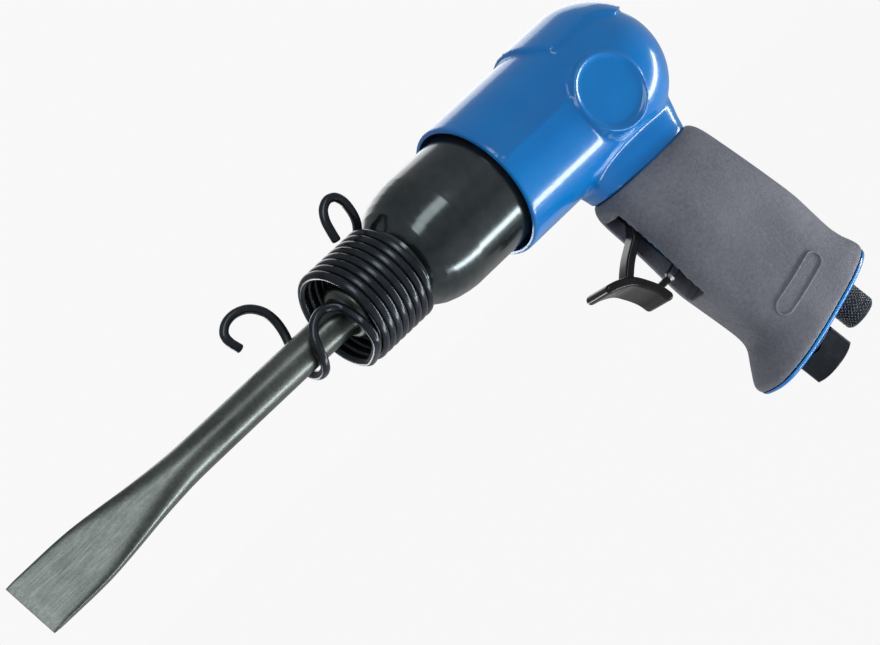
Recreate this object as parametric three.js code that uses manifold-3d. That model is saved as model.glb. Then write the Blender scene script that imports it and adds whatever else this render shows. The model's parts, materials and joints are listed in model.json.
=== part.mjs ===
// Pneumatic air hammer, 150 mm class, pistol grip, with a flat chisel in a coil retainer.
// Millimetres, +X toward the chisel tip, +Y to the user's left, +Z up.
// The origin is the middle of the hand's hold on the grip.
import * as THREE from 'three';
import { mergeVertices } from 'three/addons/utils/BufferGeometryUtils.js';
import Module from 'manifold-3d';

const wasm = await Module();
wasm.setup();

// ---- Driving dimensions -------------------------------------------------------------------
const GAP = 0.3;                    // running clearance between neighbouring pieces
const RAKE = 12.5 * Math.PI / 180;  // lean of the handle from square to the barrel

const RING_X = 64;                  // front ring of the shroud, from the origin
const AXIS_Z = 72;                  // barrel axis, above the origin

const SHROUD_R = 25.2;
const SHROUD_WALL = 1.6;
const DOME_X = -62;                 // where the rear dome starts, behind the ring
const BARREL_R = 22;
const BORE_R = 9.6;
const BORE_FRONT = 18;
const BARREL_REAR = -56;
const BARREL_THREAD_R = 17.6;
const NOSE_R = 14.1;
const NOSE_X = 60;
const SHANK_R = 5.1;                // 0.401 inch chisel shank
const SOCKET_R = 5.45;
const WIRE_R = 1.45;
const COIL_R = 16.4;                // mean radius of the retainer
const COIL_PITCH = 3.12;
const COIL_START = 41.0;
const COIL_TURNS = 8.45;

const CHISEL_TIP = 210;
const CHISEL_BODY_R = 6.1;
const CHISEL_HALF_WIDTH = 10;
const CHISEL_ROLL = 17.3 * Math.PI / 180;

const FOOT_TOP = -35.7;             // heights along the handle axis
const FOOT_BOTTOM = -37.2;
const VALVE_W = 14;                 // throttle valve axis
const PIVOT = { u: 15.5, w: 36.5 }; // trigger pivot
const INLET_U = 12.8;
const KNOB_U = -8.2;
const SLOT_HALF = 5;
const CORE_HALF_WIDTH = 12.3;

// ---- Helpers ------------------------------------------------------------------------------
const V = (x, y, z) => new THREE.Vector3(x, y, z);

// A closed three.js geometry as a solid that can be cut and joined.
function solid(geometry) {
  const bare = geometry.clone();
  bare.deleteAttribute('normal');
  bare.deleteAttribute('uv');
  const welded = mergeVertices(bare, 1e-4);
  const place = welded.attributes.position;
  const corners = welded.index.array;
  const kept = [];
  let volume = 0;
  for (let i = 0; i < corners.length; i += 3) {
    const [a, b, c] = [corners[i], corners[i + 1], corners[i + 2]];
    if (a === b || b === c || c === a) continue;
    kept.push(a, b, c);
    const [p, q, r] = [a, b, c].map((k) => new THREE.Vector3().fromBufferAttribute(place, k));
    volume += p.dot(q.cross(r));
  }
  if (volume < 0) {
    kept.reverse();
  }
  return new wasm.Manifold(new wasm.Mesh({
    numProp: 3,
    vertProperties: new Float32Array(place.array),
    triVerts: new Uint32Array(kept),
  }));
}

function geometryOf(body) {
  const mesh = body.getMesh();
  const geometry = new THREE.BufferGeometry();
  geometry.setAttribute('position', new THREE.BufferAttribute(mesh.vertProperties, 3));
  geometry.setIndex(new THREE.BufferAttribute(mesh.triVerts, 1));
  geometry.computeVertexNormals();
  return geometry;
}

// A turned piece about +X from points [x, radius]. A closed profile repeats its first point.
function turned(profile, sides = 32) {
  const points = profile.map(([x, r]) => new THREE.Vector2(r, x));
  return new THREE.LatheGeometry(points, sides).rotateZ(-Math.PI / 2);
}

// The same about +Z, from points [z, radius], standing at (x, y).
function turnedUp(profile, sides, x = 0, y = 0) {
  const points = profile.map(([z, r]) => new THREE.Vector2(r, z));
  return new THREE.LatheGeometry(points, sides).rotateX(Math.PI / 2).translate(x, y, 0);
}

const tubeProfile = (from, to, inner, outer) => [
  [from, inner], [from, outer], [to, outer], [to, inner], [from, inner],
];

// A round bar between two points.
function bar(from, to, radius, sides = 16) {
  const run = to.clone().sub(from);
  const geometry = new THREE.CylinderGeometry(radius, radius, run.length(), sides);
  const turn = new THREE.Quaternion().setFromUnitVectors(V(0, 1, 0), run.normalize());
  const middle = from.clone().add(to).multiplyScalar(0.5);
  return geometry.applyQuaternion(turn).translate(middle.x, middle.y, middle.z);
}

function block(x0, x1, y0, y1, z0, z1) {
  return new THREE.BoxGeometry(x1 - x0, y1 - y0, z1 - z0)
    .translate((x0 + x1) / 2, (y0 + y1) / 2, (z0 + z1) / 2);
}

// A smooth column through rounded sections, each a centre with two half axes and a squareness.
function loft(sections, sides = 24) {
  const steps = sections.length - 1;
  const geometry = new THREE.CylinderGeometry(1, 1, 1, sides, steps);
  const place = geometry.attributes.position;
  for (let i = 0; i < place.count; i += 1) {
    const { centre, across, along, power } = sections[Math.round((0.5 - place.getY(i)) * steps)];
    const bulge = (v) => Math.sign(v) * Math.abs(v) ** (2 / power);
    const p = centre.clone()
      .addScaledVector(along, bulge(place.getZ(i)))
      .addScaledVector(across, bulge(place.getX(i)));
    place.setXYZ(i, p.x, p.y, p.z);
  }
  return geometry;
}

// A section of the handle from its front and rear points in the side view.
function handleSection(front, rear, halfWidth, power = 2.5, grow = 0) {
  const centre = V((front[0] + rear[0]) / 2, 0, (front[1] + rear[1]) / 2);
  const along = V((front[0] - rear[0]) / 2, 0, (front[1] - rear[1]) / 2);
  along.setLength(along.length() + grow);
  return { centre, along, across: V(0, halfWidth + grow, 0), power };
}

// A flat outline in the side view [x, z], thickened across Y.
function sidePlate(points, halfWidth) {
  const outline = new THREE.Shape(points.map(([x, z]) => new THREE.Vector2(x, z)));
  return new THREE.ExtrudeGeometry(outline, { depth: 2 * halfWidth, bevelEnabled: false })
    .translate(0, 0, -halfWidth)
    .rotateX(Math.PI / 2);
}

// The outline of a bent strip of even thickness along a curve in the side view.
function strip(route, thickness, steps) {
  const curve = new THREE.SplineCurve(route.map(([x, z]) => new THREE.Vector2(x, z)));
  const near = [];
  const far = [];
  for (let i = 0; i <= steps; i += 1) {
    const p = curve.getPoint(i / steps);
    const t = curve.getTangent(i / steps);
    const half = thickness / 2 * (i === 0 || i === steps ? 0.6 : 1);
    near.push([p.x - t.y * half, p.y + t.x * half]);
    far.unshift([p.x + t.y * half, p.y - t.x * half]);
  }
  return [...near, ...far];
}

// A wire or ring of round section swept along a curve.
function wire(curve, radius, sides, steps) {
  const section = new THREE.Shape();
  for (let i = 0; i < sides; i += 1) {
    const a = 2 * Math.PI * i / sides;
    const move = i === 0 ? 'moveTo' : 'lineTo';
    section[move](radius * Math.cos(a), radius * Math.sin(a));
  }
  return new THREE.ExtrudeGeometry(section, { steps, extrudePath: curve, bevelEnabled: false });
}

// A rubber ring about +X, as a closed turned profile.
function ringProfile(x, meanR, sectionR, sides = 8) {
  const points = [];
  for (let i = 0; i <= sides; i += 1) {
    const a = 2 * Math.PI * i / sides;
    points.push([x + sectionR * Math.sin(a), meanR + sectionR * Math.cos(a)]);
  }
  return points;
}

// ---- The assembly -------------------------------------------------------------------------
const hammer = new THREE.Group();
const front = new THREE.Group();   // origin on the barrel axis at the shroud's front ring
front.position.set(RING_X, 0, AXIS_Z);
const handle = new THREE.Group();  // leaned back with the handle axis
handle.rotation.y = RAKE;
hammer.add(front, handle);

const fromFront = new THREE.Matrix4().makeTranslation(RING_X, 0, AXIS_Z);
const fromHandle = new THREE.Matrix4().makeRotationY(RAKE);

const FINISH = {
  bluePaint: [0x006eb9, 0.3, 0.35],
  rubber: [0x35302f, 0.85, 0],
  blackOxide: [0x17181b, 0.25, 0.8],
  springBlack: [0x1a1c22, 0.35, 0.8],
  satinSteel: [0x6b6f68, 0.4, 0.9],
  brightSteel: [0xb8babd, 0.25, 1],
  blackGloss: [0x101012, 0.25, 0.3],
  brass: [0xb08d4a, 0.35, 1],
  nitrile: [0x1c1c1c, 0.8, 0],
};

function addPart(group, name, shape, [colour, roughness, metalness]) {
  const material = new THREE.MeshStandardMaterial({ color: colour, roughness, metalness });
  const geometry = shape.isBufferGeometry ? geometryOf(solid(shape)) : geometryOf(shape);
  const mesh = new THREE.Mesh(geometry, material);
  mesh.name = name;
  group.add(mesh);
  return mesh;
}

// ---- Housing: shroud, rear dome, neck, handle core and foot in one casting -----------------
function domeProfile(radius, depth, startX) {
  const points = [[0, 0], [0, radius]];
  points[0][0] = startX;
  points[1][0] = startX;
  for (let i = 0; i < 7; i += 1) {
    const a = Math.PI / 2 * i / 7;
    points.push([DOME_X - depth * Math.sin(a), radius * Math.cos(a)]);
  }
  points.push([DOME_X - depth, 0]);
  return points;
}

const CORE = [
  [[18.6, 50], [-18.7, 44], CORE_HALF_WIDTH],
  [[19.2, 20], [-18.8, 16], CORE_HALF_WIDTH],
  [[21, -20], [-19, -20], CORE_HALF_WIDTH],
  [[23, FOOT_TOP - 0.5], [-19, FOOT_TOP - 0.5], CORE_HALF_WIDTH],
];
const coreLoft = (grow) => loft(CORE.map(([a, b, w]) => handleSection(a, b, w, 2.5, grow)));

function makeHousing() {
  const place = (geometry, frame) => solid(geometry.applyMatrix4(frame));
  const padBox = block(DOME_X - 40, -42, -19, 19, 14, 40);
  const pad = place(turned(domeProfile(27, 26.2, -42)), fromFront)
    .intersect(place(padBox, fromFront));
  const neckSections = [
    [[-28, -10], [-78, -10], 15.6],
    [[-29.5, -20], [-77.4, -20], 14.2],
    [[-31.2, -25], [-76.6, -25], 13.6],
    [[-32.4, -30.7], [-76, -30.7], 13.5],
  ];
  const neck = loft(neckSections.map(([a, b, w]) => handleSection(a, b, w, 2.6)));
  const foot = loft([
    handleSection([36, FOOT_TOP], [-25, FOOT_TOP], 16.6, 2.7),
    handleSection([35.2, FOOT_BOTTOM], [-24.2, FOOT_BOTTOM], 15.8, 2.7),
  ]);
  let body = place(turned(domeProfile(SHROUD_R, SHROUD_R, 0), 32), fromFront)
    .add(pad)
    .add(place(neck, fromFront))
    .add(place(coreLoft(0), fromHandle))
    .add(place(foot, fromHandle));
  for (const side of [-1, 1]) {
    const badge = (r, out) => place(bar(V(-48.5, 12 * side, -4), V(-48.5, out * side, -4), r, 24), fromFront);
    body = body.add(badge(14, 26.4));
    body = body.subtract(place(bar(V(-48.5, 25.7 * side, -4), V(-48.5, 28 * side, -4), 12.6, 24), fromFront));
  }
  const cavity = turned([
    [1, 0], [1, SHROUD_R - SHROUD_WALL], [-22, SHROUD_R - SHROUD_WALL], [-22, 20], [-44, 20],
    [-44, BARREL_THREAD_R + GAP], [-70.3, BARREL_THREAD_R + GAP], [-70.3, 13], [-78, 13], [-78, 0],
  ], 28);
  const cuts = [
    place(cavity, fromFront),
    place(bar(V(-60, 0, -57), V(-73, 0, -10), 3, 12), fromFront),
    place(block(9.5, 40, -SLOT_HALF, SLOT_HALF, 2.5, 42), fromHandle),
    place(turned([[12, 0], [12, 5.3], [-15.5, 5.3], [-15.5, 0]], 20).translate(0, 0, VALVE_W), fromHandle),
    place(bar(V(PIVOT.u, -20, PIVOT.w), V(PIVOT.u, 20, PIVOT.w), 1.8, 12), fromHandle),
    place(bar(V(INLET_U, 0, -45), V(INLET_U, 0, -22), 7.2, 24), fromHandle),
    place(bar(V(KNOB_U, 0, -45), V(KNOB_U, 0, -4), 4.6, 20), fromHandle),
    place(bar(V(KNOB_U, 0, -6), V(KNOB_U, 0, VALVE_W), 3, 12), fromHandle),
    place(bar(V(INLET_U, 0, -15), V(KNOB_U, 0, -15), 3, 12), fromHandle),
    place(bar(V(INLET_U, 0, -24), V(INLET_U, 0, -12.5), 4, 12), fromHandle),
    place(bar(V(KNOB_U - 4, -20, -27), V(KNOB_U - 4, 20, -27), 1.3, 10), fromHandle),
  ];
  for (const cut of cuts) {
    body = body.subtract(cut);
  }
  return body;
}
addPart(hammer, 'housing', makeHousing(), FINISH.bluePaint);

// ---- Rubber grip sleeve ---------------------------------------------------------------------
function makeSleeve() {
  const sections = [
    [[22.6, 47.1], [-22.0, 37.2], 14.9],
    [[23.5, 42.0], [-22.3, 32.0], 16.0],
    [[23.8, 33.5], [-22.8, 25.5], 16.4],
    [[24.4, 23], [-23.6, 16], 16.6],
    [[26.4, 6.5], [-24.4, 3.0], 16.8],
    [[26.0, -2], [-24.6, -6.5], 16.8],
    [[25.4, -12], [-23.9, -15], 16.6],
    [[25.4, -20], [-23.4, -22.5], 16.6],
    [[26.8, -24], [-23.9, -27], 16.7],
    [[35.4, -31.8], [-25.4, -32.2], 17.0],
    [[36.4, FOOT_TOP + GAP], [-25.4, FOOT_TOP + GAP], 16.9],
  ];
  const inner = CORE.map(([a, b, w]) => handleSection(a, b, w, 2.5, GAP));
  return solid(loft(sections.map(([a, b, w]) => handleSection(a, b, w, 2.6))))
    .subtract(solid(loft(inner)))
    .subtract(solid(block(15, 45, -SLOT_HALF, SLOT_HALF, 2.5, 40.5)));
}
addPart(handle, 'grip_sleeve', makeSleeve(), FINISH.rubber);

// ---- Barrel, with the piston bore, the chisel socket and the threaded nose ------------------
function makeBarrel() {
  const profile = [
    [BARREL_REAR, BORE_R], [BARREL_REAR, BARREL_THREAD_R], [-20, BARREL_THREAD_R], [-20, BARREL_R],
    [22, BARREL_R], [27, 21.2], [32, 20.2], [36, 18], [38.5, NOSE_R], [NOSE_X - 1, NOSE_R],
    [NOSE_X, NOSE_R - 1], [NOSE_X, SOCKET_R], [BORE_FRONT, SOCKET_R], [BORE_FRONT, BORE_R],
    [BARREL_REAR, BORE_R],
  ];
  let body = solid(turned(profile, 32));
  for (const side of [-1, 1]) {
    body = body.subtract(solid(bar(V(-30, 7 * side, 0), V(-30, 20 * side, 0), 3, 12)));
    body = body.subtract(solid(bar(V(-58, 13.5 * side, 0), V(-52, 13.5 * side, 0), 1.5, 10)));
  }
  return body;
}
addPart(front, 'barrel', makeBarrel(), FINISH.blackOxide);

addPart(front, 'piston', turned([
  [-54.5, 0], [-54.5, 8.4], [-53.6, BORE_R - GAP], [-31, BORE_R - GAP], [-29.5, 7], [-24.5, 7], [-24.5, 0],
], 28), FINISH.brightSteel);

// ---- Distributing valve behind the barrel ----------------------------------------------------
const VALVE_BLOCK_R = 17.5;
function withDowelHoles(body) {
  let result = body;
  for (const side of [-1, 1]) {
    result = result.subtract(solid(bar(V(-68, 13.5 * side, 0), V(-50, 13.5 * side, 0), 1.5, 10)));
  }
  return result;
}
addPart(front, 'valve_seat_block', withDowelHoles(solid(turned([
  [-61.7, 9], [-61.7, VALVE_BLOCK_R], [-56.3, VALVE_BLOCK_R], [-56.3, 5], [-59.2, 5], [-59.2, 9], [-61.7, 9],
], 28))), FINISH.brightSteel);
addPart(front, 'valve_disc', turned(tubeProfile(-61.6, -60.4, 2, 8.5), 24), FINISH.brightSteel);
addPart(front, 'valve_cap', withDowelHoles(solid(turned([
  [-69.7, 4], [-69.7, VALVE_BLOCK_R], [-67.6, VALVE_BLOCK_R], [-67.6, 15.2], [-64.8, 15.2],
  [-64.8, VALVE_BLOCK_R], [-62, VALVE_BLOCK_R], [-62, 4], [-69.7, 4],
], 28))), FINISH.brightSteel);
addPart(front, 'valve_cap_o_ring', turned(ringProfile(-66.2, 16.6, 1, 6), 24), FINISH.nitrile);
for (const [side, label] of [[1, 'left'], [-1, 'right']]) {
  addPart(front, `valve_dowel_${label}`,
    bar(V(-67.5, 13.5 * side, 0), V(-52.4, 13.5 * side, 0), 1.2, 10), FINISH.brightSteel);
}

// ---- Chisel ---------------------------------------------------------------------------------
function makeChisel() {
  const shank = solid(turned([
    [17.2, 0], [17.2, SHANK_R - 1], [18.2, SHANK_R], [NOSE_X + 0.4, SHANK_R], [NOSE_X + 0.4, 8.8],
    [NOSE_X + 1.2, 9.6], [NOSE_X + 3.8, 9.6], [NOSE_X + 5, CHISEL_BODY_R + 0.6],
    [NOSE_X + 8, CHISEL_BODY_R], [100, CHISEL_BODY_R], [100, 0],
  ], 24));
  const section = (x, halfWidth, halfThick, power) => ({
    centre: V(x, 0, 0), along: V(0, 0, halfWidth), across: V(0, halfThick, 0), power,
  });
  const blade = loft([
    section(99, CHISEL_BODY_R, CHISEL_BODY_R, 2),
    section(141, CHISEL_BODY_R, CHISEL_BODY_R, 2),
    section(155, 7.0, 4.9, 2.4),
    section(170, 8.6, 3.6, 3.4),
    section(188, CHISEL_HALF_WIDTH, 2.3, 5),
    section(CHISEL_TIP - 3, CHISEL_HALF_WIDTH, 1.5, 6),
    section(CHISEL_TIP, CHISEL_HALF_WIDTH, 0.3, 6),
  ], 24);
  return shank.add(solid(blade));
}
addPart(front, 'chisel', makeChisel(), FINISH.satinSteel).rotation.x = CHISEL_ROLL;

// ---- Retainer spring: finger loop, closed coil, and a pigtail round the chisel ----------------
function makeRetainer() {
  const route = [
    V(51.9, 4.5, 19.5), V(50.8, 4.6, 25), V(48.5, 4.8, 29), V(45, 4.8, 30.6), V(41.6, 4.4, 29),
    V(40, 3.6, 25), V(40.2, 1.5, 20.5),
  ];
  const perTurn = 16;
  const first = Math.PI / 2 + 0.18;
  for (let i = 0; i <= COIL_TURNS * perTurn; i += 1) {
    const turn = i / perTurn;
    const a = first + 2 * Math.PI * turn;
    const x = COIL_START + COIL_PITCH * turn;
    route.push(V(x, COIL_R * Math.cos(a), COIL_R * Math.sin(a)));
  }
  route.push(
    V(68.6, 11.6, -11.6), V(69, 14, -5), V(68.9, 12.2, -0.4), V(69, 10, 2.8), V(70.5, 8.9, 5.2),
    V(73.2, 8.4, 6.5), V(76.6, 8.6, 6.6), V(80, 8.8, 5.2), V(82.4, 8.8, 2.4), V(83.8, 8.5, -1.2),
    V(84.3, 7.1, -4.7), V(84.4, 4.2, -7.5), V(84.5, 0.6, -8.5), V(84.5, -3.2, -8), V(84.2, -6.6, -5.8),
    V(83.3, -8.6, -1.5), V(82, -8.7, 4), V(80.6, -8.6, 9), V(80.3, -8.5, 13.5), V(81.5, -8.5, 18),
    V(85, -8.5, 21.8), V(90, -8.5, 23.5), V(94.4, -8.5, 22.9), V(97, -8.5, 20.6), V(97.2, -8.5, 18),
    V(96, -8.5, 14.2),
  );
  const curve = new THREE.CatmullRomCurve3(route, false, 'centripetal');
  return wire(curve, WIRE_R, 6, 185);
}
addPart(front, 'retainer_spring', makeRetainer(), FINISH.springBlack);

// ---- Trigger and its pin ------------------------------------------------------------------------
const pivotInFront = V(PIVOT.u, 0, PIVOT.w).applyMatrix4(fromHandle)
  .sub(V(RING_X, 0, AXIS_Z));
function makeTrigger() {
  const blade = strip([
    [-9.6, -52], [-14.5, -53.2], [-19.2, -55.6], [-22.3, -59.3], [-24.9, -63.6], [-26, -68.4],
  ], 3.3, 12);
  const arm = strip([
    [-20, -56], [-26.6, -51.2], [-34.1, -46.6], [pivotInFront.x, pivotInFront.z],
  ], 3, 8);
  const spur = [[-23, -60.9], [-28, -62.6], [-34.2, -62.9], [-34.2, -65.3], [-28, -65.4], [-25, -64.4]];
  const boss = bar(pivotInFront.clone().setY(-4.2), pivotInFront.clone().setY(4.2), 3.2, 16);
  const hole = bar(pivotInFront.clone().setY(-9), pivotInFront.clone().setY(9), 1.8, 12);
  return solid(sidePlate(blade, 8))
    .add(solid(sidePlate(arm, 3.2)))
    .add(solid(sidePlate(spur, 2)))
    .add(solid(boss))
    .subtract(solid(hole));
}
addPart(front, 'trigger', makeTrigger(), FINISH.blackGloss);
addPart(handle, 'trigger_pin',
  bar(V(PIVOT.u, -7.2, PIVOT.w), V(PIVOT.u, 7.2, PIVOT.w), 1.5, 12), FINISH.brightSteel);

// ---- Throttle valve in the handle ----------------------------------------------------------------
const throttle = new THREE.Group();
throttle.position.z = VALVE_W;
handle.add(throttle);
function makeBush() {
  const body = solid(turned([
    [9, 2.2], [9, 5], [4.6, 5], [4.6, 4.1], [2.6, 4.1], [2.6, 5], [-2, 5], [-2, 3.2], [1, 3.2], [1, 2.2],
    [9, 2.2],
  ], 20));
  return body.subtract(solid(bar(V(-0.4, 0, 0), V(-0.4, 0, 8), 1, 8)));
}
addPart(throttle, 'throttle_bush', makeBush(), FINISH.brass);
addPart(throttle, 'throttle_bush_o_ring', turned(ringProfile(3.6, 4.75, 0.4, 6), 20), FINISH.nitrile);
addPart(throttle, 'throttle_stem', turned([
  [27, 0], [27, 1.2], [26.3, 1.8], [-2.4, 1.8], [-2.4, 2], [-4, 2], [-4, 4.2], [-6, 4.2], [-6, 1.6],
  [-8, 1.6], [-8, 0],
], 16), FINISH.brightSteel);
addPart(throttle, 'throttle_seal', turned(tubeProfile(-3.7, -2.4, 2.3, 4.2), 20), FINISH.nitrile);
function makeThrottleSpring() {
  const turns = 4;
  const perTurn = 10;
  const route = [];
  for (let i = 0; i <= turns * perTurn; i += 1) {
    const a = 2 * Math.PI * i / perTurn;
    route.push(V(-6.8 - 8 * i / (turns * perTurn), 3 * Math.cos(a), 3 * Math.sin(a)));
  }
  return wire(new THREE.CatmullRomCurve3(route), 0.4, 5, turns * perTurn);
}
addPart(throttle, 'throttle_spring', makeThrottleSpring(), FINISH.brightSteel);

// ---- Air inlet under the foot ----------------------------------------------------------------------
const INLET_END = -49.2;
function makeInletBushing() {
  const hex = new THREE.CylinderGeometry(17 / Math.sqrt(3), 17 / Math.sqrt(3), 9.3, 6)
    .rotateX(Math.PI / 2)
    .translate(INLET_U, 0, INLET_END + 9.3 / 2);
  const shank = turnedUp([[-43, 0], [-43, 6.9], [-23, 6.9], [-23, 0]], 24, INLET_U);
  const bore = turnedUp([
    [-60, 0], [-60, 7.4], [INLET_END, 6.7], [INLET_END + 0.9, 5.9], [-10, 5.9], [-10, 0],
  ], 24, INLET_U);
  return solid(hex).add(solid(shank)).subtract(solid(bore));
}
addPart(handle, 'inlet_bushing', makeInletBushing(), FINISH.blackOxide);
addPart(handle, 'inlet_washer',
  turnedUp(tubeProfile(FOOT_BOTTOM - GAP - 1.9, FOOT_BOTTOM - GAP, 7.2, 10), 28, INLET_U),
  FINISH.blackOxide);
addPart(handle, 'inlet_strainer', turnedUp([
  [-33, 4.7], [-33, 5.6], [-24.5, 5.6], [-23.6, 4.4], [-23.6, 0], [-24.6, 0], [-24.6, 4.7], [-33, 4.7],
], 20, INLET_U), FINISH.brass);

// ---- Air regulator beside the inlet -------------------------------------------------------------------
const KNOB_R = 6.1;
const KNOB_END = -49.6;
addPart(handle, 'regulator_knob', turnedUp([
  [FOOT_BOTTOM - GAP, 2.4], [FOOT_BOTTOM - GAP, KNOB_R - 0.7], [FOOT_BOTTOM - 1, KNOB_R],
  [KNOB_END + 0.8, KNOB_R], [KNOB_END, KNOB_R - 0.8], [KNOB_END, 0], [-46, 0], [-46, 2.4],
  [FOOT_BOTTOM - GAP, 2.4],
], 24, KNOB_U), FINISH.blackOxide);
addPart(handle, 'regulator_spool', turnedUp([
  [-45.7, 0], [-45.7, 2.1], [-37, 2.1], [-37, 4.3], [-35.4, 4.3], [-35.4, 3.2], [-33, 3.2], [-33, 4.3],
  [-28.4, 4.3], [-28.4, 2.6], [-25.6, 2.6], [-25.6, 4.3], [-19, 4.3], [-19, 2.6], [-11, 2.6],
  [-11, 4.3], [-5, 4.3], [-5, 0],
], 20, KNOB_U), FINISH.brightSteel);
addPart(handle, 'regulator_o_ring',
  turned(ringProfile(0, 3.95, 0.5, 6), 20).rotateY(-Math.PI / 2).translate(KNOB_U, 0, -34.2), FINISH.nitrile);
addPart(handle, 'regulator_pin', bar(V(KNOB_U - 4, -10, -27), V(KNOB_U - 4, 10, -27), 1, 10),
  FINISH.brightSteel);

export default hammer;
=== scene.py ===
"""Looks of a pneumatic air hammer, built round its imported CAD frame. Sizes below are in millimetres."""
import json
import math

import bmesh
import bpy
from mathutils import Matrix, Vector


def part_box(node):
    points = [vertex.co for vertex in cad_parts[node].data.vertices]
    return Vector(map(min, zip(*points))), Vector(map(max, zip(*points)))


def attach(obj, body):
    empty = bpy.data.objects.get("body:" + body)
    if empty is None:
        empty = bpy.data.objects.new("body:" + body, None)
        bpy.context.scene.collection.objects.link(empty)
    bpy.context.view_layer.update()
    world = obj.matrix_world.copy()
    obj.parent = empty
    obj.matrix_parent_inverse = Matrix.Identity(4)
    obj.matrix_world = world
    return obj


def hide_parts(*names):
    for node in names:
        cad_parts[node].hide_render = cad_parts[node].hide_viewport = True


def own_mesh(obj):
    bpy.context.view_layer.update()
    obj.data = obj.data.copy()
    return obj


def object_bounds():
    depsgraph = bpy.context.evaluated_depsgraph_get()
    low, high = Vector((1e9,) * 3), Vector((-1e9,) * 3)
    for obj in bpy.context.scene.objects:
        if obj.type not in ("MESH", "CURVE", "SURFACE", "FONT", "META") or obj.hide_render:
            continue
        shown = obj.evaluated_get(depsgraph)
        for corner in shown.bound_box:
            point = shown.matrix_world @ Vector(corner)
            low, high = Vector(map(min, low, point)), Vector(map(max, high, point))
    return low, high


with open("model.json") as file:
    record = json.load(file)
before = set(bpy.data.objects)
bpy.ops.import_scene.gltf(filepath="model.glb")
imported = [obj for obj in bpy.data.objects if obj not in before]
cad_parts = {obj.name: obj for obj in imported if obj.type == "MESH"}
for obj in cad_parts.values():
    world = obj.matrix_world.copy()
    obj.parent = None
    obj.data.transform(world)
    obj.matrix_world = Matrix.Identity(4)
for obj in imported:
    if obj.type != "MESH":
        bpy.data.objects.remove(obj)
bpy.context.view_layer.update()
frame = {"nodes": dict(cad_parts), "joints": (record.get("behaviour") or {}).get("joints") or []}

MM = 0.001

# ---- Driving dimensions, in the barrel's and the handle's own frames -----------------------------
RAKE = math.radians(12.5)
NOSE_END = 60.0
SHROUD_R = 25.2
SHROUD_WALL = 1.6
DOME_START = -62.0
PAD_R = 27.0
INLET_END = -49.2
KNOB_END = -49.6
BADGE_X, BADGE_Z, BADGE_R = -48.5, -4.0, 14.0
BARREL_R = 22.0
NOSE_R = 14.1
SOCKET_R = 5.45
BORE_R = 9.6
COIL_R = 16.4
COIL_PITCH = 3.12
COIL_START = 41.0
COIL_TURNS = 8.45
WIRE_R = 1.54
CHISEL_R = 6.1
CHISEL_TIP = 210.0
CHISEL_ROLL = math.radians(17.3)
FOOT_TOP = -35.7
FOOT_BOTTOM = -37.2
SLOT_HALF = 5.0
SLOT_LOW = 2.5
INLET_U = 12.8
KNOB_U = -8.2
VALVE_W = 14.0
KNOB_R = 6.3
HEX_FLATS = 17.0
THROTTLE_BORE_R = 5.3
INLET_BORE_R = 7.2
KNOB_BORE_R = 4.7

barrel_low, barrel_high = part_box("barrel")
RING = Vector((barrel_high.x - NOSE_END * MM, 0.0, (barrel_low.z + barrel_high.z) / 2))
FRONT = Matrix.Translation(RING) @ Matrix.Scale(MM, 4)
HANDLE = Matrix.Rotation(RAKE, 4, "Y") @ Matrix.Scale(MM, 4)
PIVOT_AT = next(j["pos_m"] for j in frame["joints"] if j["name"] == "trigger_pull")
PIVOT = FRONT.inverted() @ Vector(PIVOT_AT)


# ---- Mesh helpers --------------------------------------------------------------------------------
def mesh_object(name, points, faces, place):
    mesh = bpy.data.meshes.new(name)
    mesh.from_pydata([place @ Vector(p) for p in points], [], faces)
    mesh.validate()
    obj = bpy.data.objects.new(name, mesh)
    bpy.context.collection.objects.link(obj)
    face_outwards(obj)
    return obj


def face_outwards(obj):
    work = bmesh.new()
    work.from_mesh(obj.data)
    bmesh.ops.remove_doubles(work, verts=work.verts, dist=1e-7)
    bmesh.ops.recalc_face_normals(work, faces=work.faces)
    work.to_mesh(obj.data)
    work.free()


def skin(name, rings, place, closed=False):
    """A solid skinned over equal rings of points. A closed one joins its last ring to its first."""
    count = len(rings[0])
    points = [p for ring in rings for p in ring]
    faces = []
    spans = len(rings) if closed else len(rings) - 1
    for i in range(spans):
        a, b = i * count, ((i + 1) % len(rings)) * count
        for k in range(count):
            n = (k + 1) % count
            faces.append((a + k, a + n, b + n, b + k))
    if not closed:
        faces.append(tuple(range(count)))
        faces.append(tuple(range(len(points) - count, len(points))))
    return mesh_object(name, points, faces, place)


def softened(profile, radius, steps=4, closed=False):
    """The profile with each corner rounded by a short curve of about this radius."""
    if closed:
        loop = profile[:-1]
        around = [loop[-1]] + loop + [loop[0]]
        result = []
    else:
        around = profile
        result = [profile[0]]
    for before, corner, after in zip(around, around[1:], around[2:]):
        p, q, r = Vector(before), Vector(corner), Vector(after)
        back, ahead = (p - q), (r - q)
        start = q + back * min(0.45, radius / back.length)
        end = q + ahead * min(0.45, radius / ahead.length)
        for i in range(steps + 1):
            t = i / steps
            result.append(tuple(start * (1 - t) ** 2 + q * 2 * t * (1 - t) + end * t * t))
    if not closed:
        result.append(profile[-1])
    return result


def turned(name, profile, place, sides=96, closed=False, along="X", at=(0.0, 0.0)):
    """A turned solid from points (distance, radius) about X, or about Z at a place (x, y)."""
    rings = []
    for distance, radius in profile:
        ring = []
        for k in range(sides):
            a = 2 * math.pi * k / sides
            c, s = radius * math.cos(a), radius * math.sin(a)
            ring.append((distance, c, s) if along == "X" else (at[0] + c, at[1] + s, distance))
        rings.append(ring)
    return skin(name, rings, place, closed)


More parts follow.
